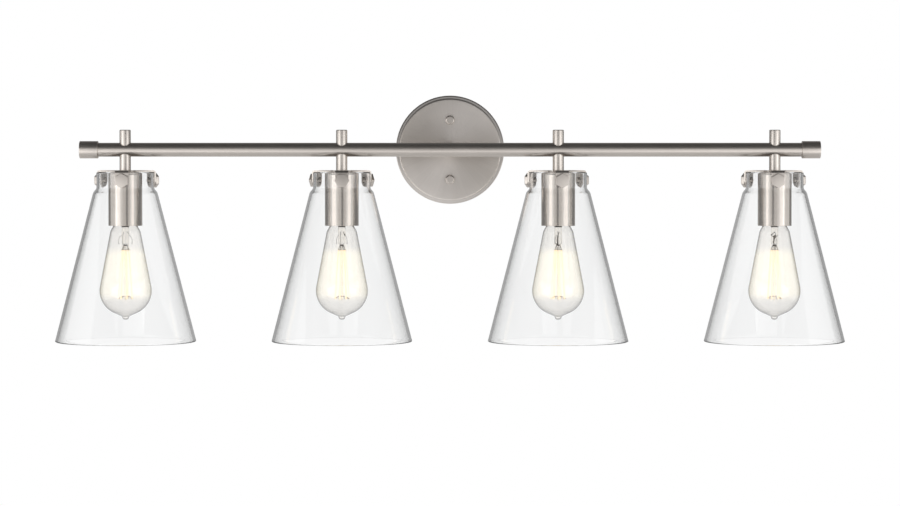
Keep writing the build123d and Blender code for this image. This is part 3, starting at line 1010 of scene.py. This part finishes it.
def makeThumbScrews():
    shape = screwShape
    wide, length = shape["shank"], shape["headInner"] - shape["tip"]
    end = length + shape["intoHead"]
    outline = softened([(0.0, end), (wide, end), (wide, 0.0, shape["tipRound"]), (0.0, 0.0)],
                       longest=shape["longest"])
    thread = (shape["thread"], shape["pitch"], 0.0, length)
    for number, x in zip(numbers, lightX):
        for place, angle in holderShape["places"].items():
            node = f"thumb_screw_{number}_{place}"
            turn = math.radians(angle + holderShape["turns"][number - 1])
            facing = (math.pi / 2, 0.0, turn)
            outward = Vector((math.sin(turn), -math.cos(turn), 0.0))
            axis = Vector((x, barY, middle(node).z))
            head = headed.grow(
                node, finishes["flat"], Across=shape["acrossFlats"], Thickness=shape["headThickness"],
                Corner=shape["corner"], Edge=shape["edge"], Turn=math.radians(shape["headTurns"][number - 1]),
                Facing=facing, Place=axis + outward * shape["headInner"])
            shank = shell(node, outline, finishes["flat"], axis + outward * shape["tip"], facing,
                          shape["segments"], thread=thread)
            finishPiece(node + "_turned", together(node, head, shank), bodyOf(node), "satin_nickel", node,
                        angle=shape["creaseAngle"])


makeCups()
makeShades()
makeBulbs()
makeMounts()
makeBases()
makeShells()
makeThumbScrews()
print("cups, shades, bulbs and thumb screws")


# pieces whose CAD shape stays

keptShapes = {
    "arm_tube": ("aroundStem", "satin_nickel"),
    "mounting_strap": ("zinc", "zinc_plate"),
    "canopy_studs": ("zinc", "zinc_plate"),
    "ground_screw": ("greenZinc", "green_zinc"),
    "nipples": ("zinc", "zinc_plate"),
    "locknuts": ("zinc", "zinc_plate"),
    "centre_contacts": ("brass", "socket_brass"),
    "wire_connectors": ("orangePlastic", "orange_plastic"),
    "black_leads": ("blackLead", "black_insulation"),
    "white_leads": ("whiteLead", "white_insulation"),
}
for number in numbers:
    keptShapes[f"glass_holder_{number}"] = ("flat", "satin_nickel")
    keptShapes[f"socket_body_{number}"] = ("ceramic", "socket_ceramic")
for node, (finish, slot) in keptShapes.items():
    copied(node, finishes[finish], slot)
print("kept shapes:", len(keptShapes))


# studio: white floor and surroundings, a row of soft boxes in front and a panel at each side

studio = {
    "floorHeight": -7.0,
    "floorSize": 60.0,
    "floorDim": 0.55,      # how bright the floor is in reflections, against 1 as seen through glass alone
    "boxY": -1.40,
    "boxLow": -1.15,
    "boxHigh": 0.33,
    "boxes": (
        (-3.00, -1.05, 1.25), (-1.05, -0.65, 0.75), (-0.65, -0.13, 0.52),
        (0.13, 0.65, 0.52), (0.65, 1.05, 0.75), (1.05, 3.00, 1.15)),      # left, right and brightness
    "wings": ((-1.0, 0.60), (1.0, 0.60)),      # where each side panel stands, and its brightness
    "wingBack": 0.15,
    "wingFront": -0.55,
    "wingLow": -0.50,
    "wingHigh": 0.14,
    # brightness of the surroundings in reflections, once round from the back and then from below to above
    "ring": (
        (0.00, 0.45), (0.08, 0.38), (0.14, 0.20), (0.25, 0.20), (0.36, 0.40), (0.43, 0.16), (0.57, 0.16),
        (0.64, 0.40), (0.75, 0.20), (0.86, 0.20), (0.92, 0.38), (1.00, 0.45)),
    "lift": (
        (0.00, 1.3), (0.20, 1.9), (0.40, 1.5), (0.48, 1.0), (0.54, 1.0), (0.62, 0.7), (0.72, 0.32),
        (0.85, 0.14), (1.0, 0.10)),
    "cameraY": -3.854,
    "tilt": 1.82,      # how far the camera looks down, in degrees
    "lens": 130.0,
    "farthest": 200.0,
}


def clearPath(graph):
    # 1 for light that has only passed through glass on its way to the lens
    glossy = graph.node("ShaderNodeLightPath", None, None, "Glossy Depth")
    bounced = glossy + glossy.sibling("Diffuse Depth")
    return glossy.math("LESS_THAN", bounced, 0.5)


def makeFloor():
    bpy.ops.mesh.primitive_plane_add(size=studio["floorSize"])
    floor = bpy.context.object
    floor.name = "studio_floor"
    floor.data.transform(Matrix.Translation((0.0, 0.0, studio["floorHeight"])))
    material = bpy.data.materials.new("studio_floor")
    material.use_nodes = True
    graph = Graph(material.node_tree)
    graph.tree.nodes.clear()
    strength = clearPath(graph) * (1.0 - studio["floorDim"]) + studio["floorDim"]
    glow = graph.node("ShaderNodeEmission", None, {"Color": grey(1.0), "Strength": strength})
    graph.node("ShaderNodeOutputMaterial", None, {"Surface": glow})
    floor.data.materials.append(material)


def makeWorld():
    world = bpy.data.worlds.new("studio")
    scene.world = world
    world.use_nodes = True
    graph = Graph(world.node_tree)
    graph.tree.nodes.clear()
    x, y, z = graph.split(graph.node("ShaderNodeTexCoord", None, None, "Generated"))
    around = x.math("ARCTAN2", x, 0.0 - y) / (2 * math.pi) + 0.5
    height = z.math("ARCSINE", z) / math.pi + 0.5
    level = graph.ramp(around, greys(*studio["ring"])) * graph.ramp(height, greys(*studio["lift"]))
    strength = level + clearPath(graph) * (1.0 - level)
    glow = graph.node("ShaderNodeBackground", None, {"Color": grey(1.0), "Strength": strength})
    graph.node("ShaderNodeOutputWorld", None, {"Surface": glow})


def softBox(width, height, brightness, place, turn):
    light = bpy.data.lights.new("soft_box", "AREA")
    light.shape = "RECTANGLE"
    light.size, light.size_y = width, height
    # radiance of an area light is its power over pi times its area
    light.energy = brightness * math.pi * width * height
    lamp = bpy.data.objects.new("soft_box", light)
    scene.collection.objects.link(lamp)
    lamp.location = place
    lamp.rotation_euler = (math.pi / 2, 0.0, turn)
    lamp.visible_camera = False


def makeLights():
    low, high = studio["boxLow"], studio["boxHigh"]
    for left, right, brightness in studio["boxes"]:
        place = ((left + right) / 2, studio["boxY"], (low + high) / 2)
        softBox(right - left, high - low, brightness, place, 0.0)
    low, high = studio["wingLow"], studio["wingHigh"]
    front, back = studio["wingFront"], studio["wingBack"]
    for x, brightness in studio["wings"]:
        turn = math.copysign(math.pi / 2, x)
        softBox(back - front, high - low, brightness, (x, (front + back) / 2, (low + high) / 2), turn)


def makeCamera():
    lens = bpy.data.cameras.new("camera")
    lens.lens = studio["lens"]
    lens.clip_end = studio["farthest"]
    camera = bpy.data.objects.new("camera", lens)
    scene.collection.objects.link(camera)
    camera.location = (0.0, studio["cameraY"], 0.0)
    camera.rotation_euler = (math.pi / 2 - math.radians(studio["tilt"]), 0.0, 0.0)
    scene.camera = camera


makeFloor()
makeWorld()
makeLights()
makeCamera()
print("studio")
